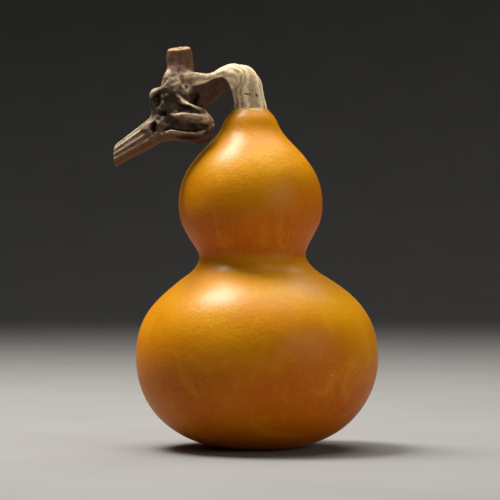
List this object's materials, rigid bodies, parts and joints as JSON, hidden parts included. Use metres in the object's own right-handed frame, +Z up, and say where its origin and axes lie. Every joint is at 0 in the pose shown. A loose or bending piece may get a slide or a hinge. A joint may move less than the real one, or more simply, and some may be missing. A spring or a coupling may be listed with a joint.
{
  "type": "dried bottle gourd",
  "caption": "Small dried double-bellied gourd standing on its blossom end, with a woody stalk arching into a short cut piece of vine.",
  "frame": {"origin": "centre of the small flat on the blossom end, which the gourd stands on", "axes": "+Z up through the belly and the crown; the vine lies towards -X; the front, with the torn leaf stalk, faces -Y"},
  "size_m": [0.0536, 0.048, 0.0816],
  "materials": {
    "rind": "satin",
    "bark": "matte"
  },
  "bodies": {
    "root": {"gourd_fruit": "rind", "vine_stem": "bark"}
  },
  "joints": []
}
